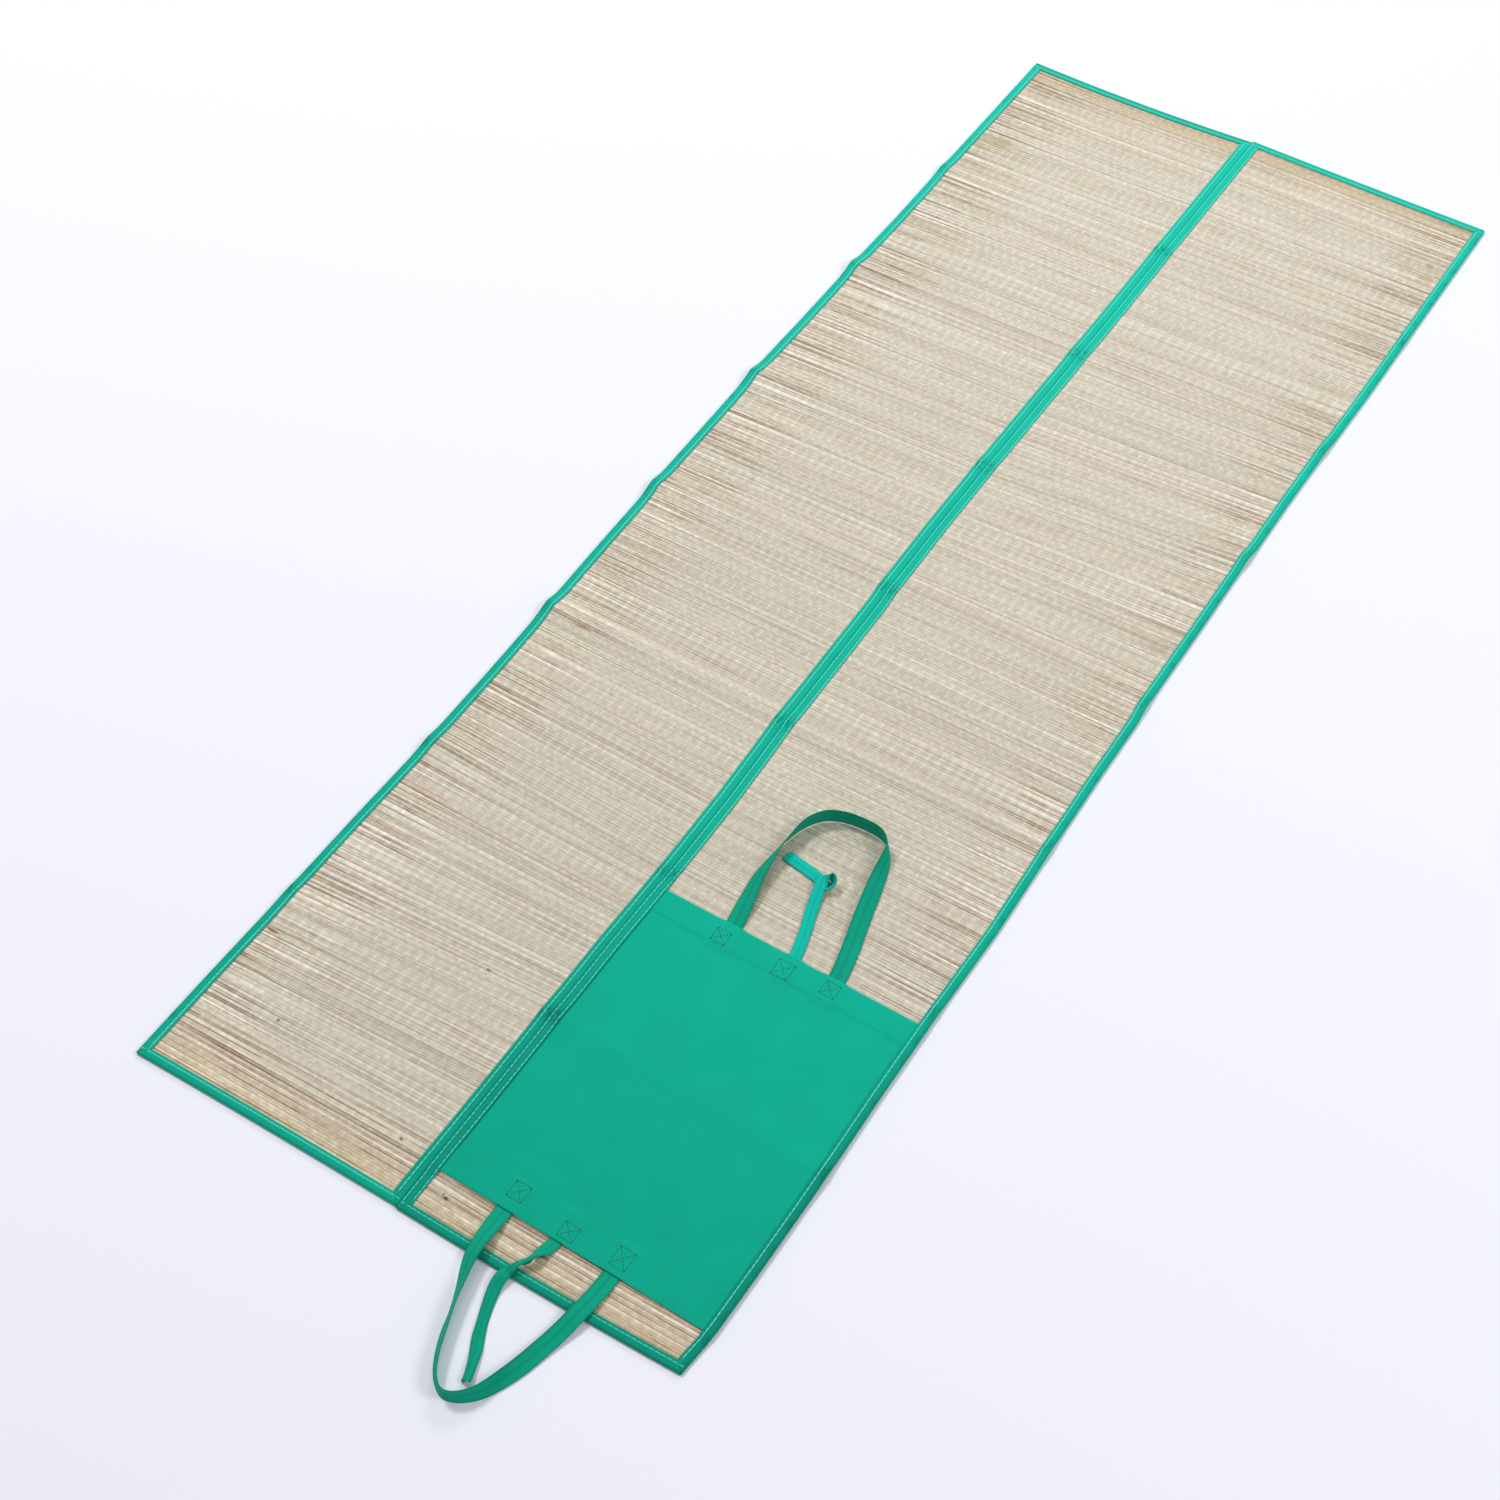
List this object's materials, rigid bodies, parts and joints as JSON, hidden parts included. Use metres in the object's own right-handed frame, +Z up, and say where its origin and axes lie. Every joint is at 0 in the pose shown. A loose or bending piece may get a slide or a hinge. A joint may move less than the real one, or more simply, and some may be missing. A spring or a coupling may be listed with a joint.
{
  "type": "straw beach mat",
  "caption": "Woven straw beach mat opened flat, bound in green cloth tape, with a sewn-on carry panel, two looped handle straps and two tie straps",
  "frame": {"origin": "the middle of the part's footprint, on the surface that the mat lies on", "axes": "+Y runs along the mat towards the end away from the carry panel, +X runs across it towards the half with the panel, +Z is up"},
  "size_m": [0.6118, 1.8654, 0.0219],
  "materials": {
    "straw": "matt woven straw, streaked pale beige",
    "binding_green": "matt non-woven tape, sea green",
    "panel_green": "matt non-woven cloth, sea green",
    "strap_green": "matt non-woven strap, sea green"
  },
  "bodies": {
    "root": {"straw_left": "straw", "straw_right": "straw", "binding_left_outer": "binding_green", "binding_left_seam": "binding_green", "binding_left_near": "binding_green", "binding_left_far": "binding_green", "binding_right_outer": "binding_green", "binding_right_seam": "binding_green", "binding_right_near": "binding_green", "binding_right_far": "binding_green", "carry_panel": "panel_green", "handle_upper": "strap_green", "handle_lower": "strap_green", "tie_upper": "strap_green", "tie_lower": "strap_green"}
  },
  "joints": []
}
